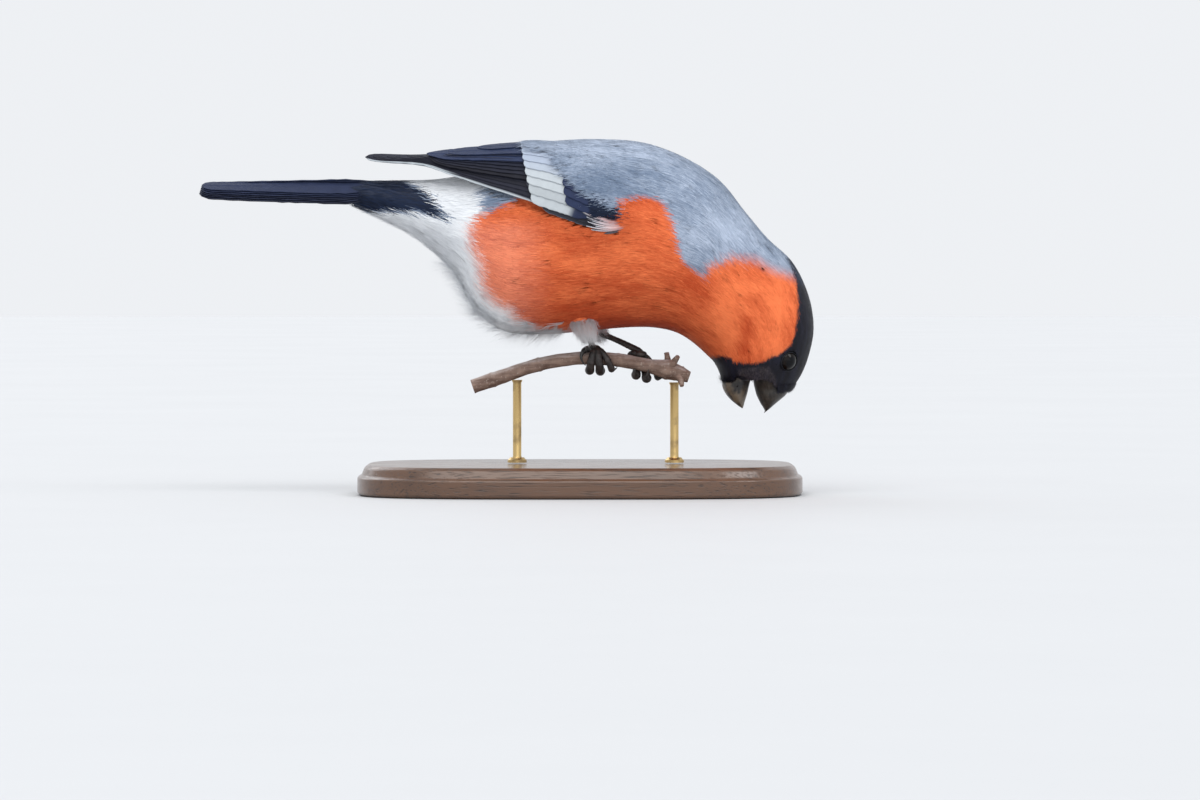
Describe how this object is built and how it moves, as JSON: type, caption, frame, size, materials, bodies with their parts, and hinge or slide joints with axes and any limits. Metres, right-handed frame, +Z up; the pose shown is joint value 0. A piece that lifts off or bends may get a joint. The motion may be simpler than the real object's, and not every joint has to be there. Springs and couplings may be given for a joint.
{
  "type": "bullfinch figure",
  "caption": "Still, life-size model of a male bullfinch bowed forward on a cut twig, its bill reaching down, held by rods over a plain oval base.",
  "frame": {"origin": "middle of the flat underside of the stand's base", "axes": "+X the way the bird faces, +Y towards its left side, +Z up"},
  "size_m": [0.1657, 0.074, 0.0956],
  "materials": {
    "breast_plumage": "soft orange-red body feathers, matt",
    "mantle_plumage": "soft ash-grey body feathers, matt",
    "cap_plumage": "black body feathers with a slight blue gloss",
    "thigh_plumage": "white downy feathers, matt",
    "flight_feather": "black flight feathers with a blue gloss, satin",
    "eye": "very dark brown eye, polished",
    "bill": "black horn, satin",
    "leg_skin": "scaly dark brown skin, satin",
    "bark": "thin grey-brown bark, matt",
    "stand_wood": "dark stained hardwood, satin varnish",
    "stand_brass": "drawn brass rod, satin"
  },
  "bodies": {
    "root": {"torso": "breast_plumage", "neck": "mantle_plumage", "head": "cap_plumage", "eye_right": "eye", "eye_left": "eye", "bill_upper": "bill", "bill_lower": "bill", "wing_left_shoulder": "mantle_plumage", "wing_right_shoulder": "mantle_plumage", "wing_left_feathers": "flight_feather", "wing_right_feathers": "flight_feather", "tail": "flight_feather", "thigh_left": "thigh_plumage", "thigh_right": "thigh_plumage", "shank_left": "leg_skin", "shank_right": "leg_skin", "foot_left": "leg_skin", "foot_right": "leg_skin", "perch": "bark", "stand_base": "stand_wood", "stand_rod_rear": "stand_brass", "stand_rod_front": "stand_brass"}
  },
  "joints": []
}
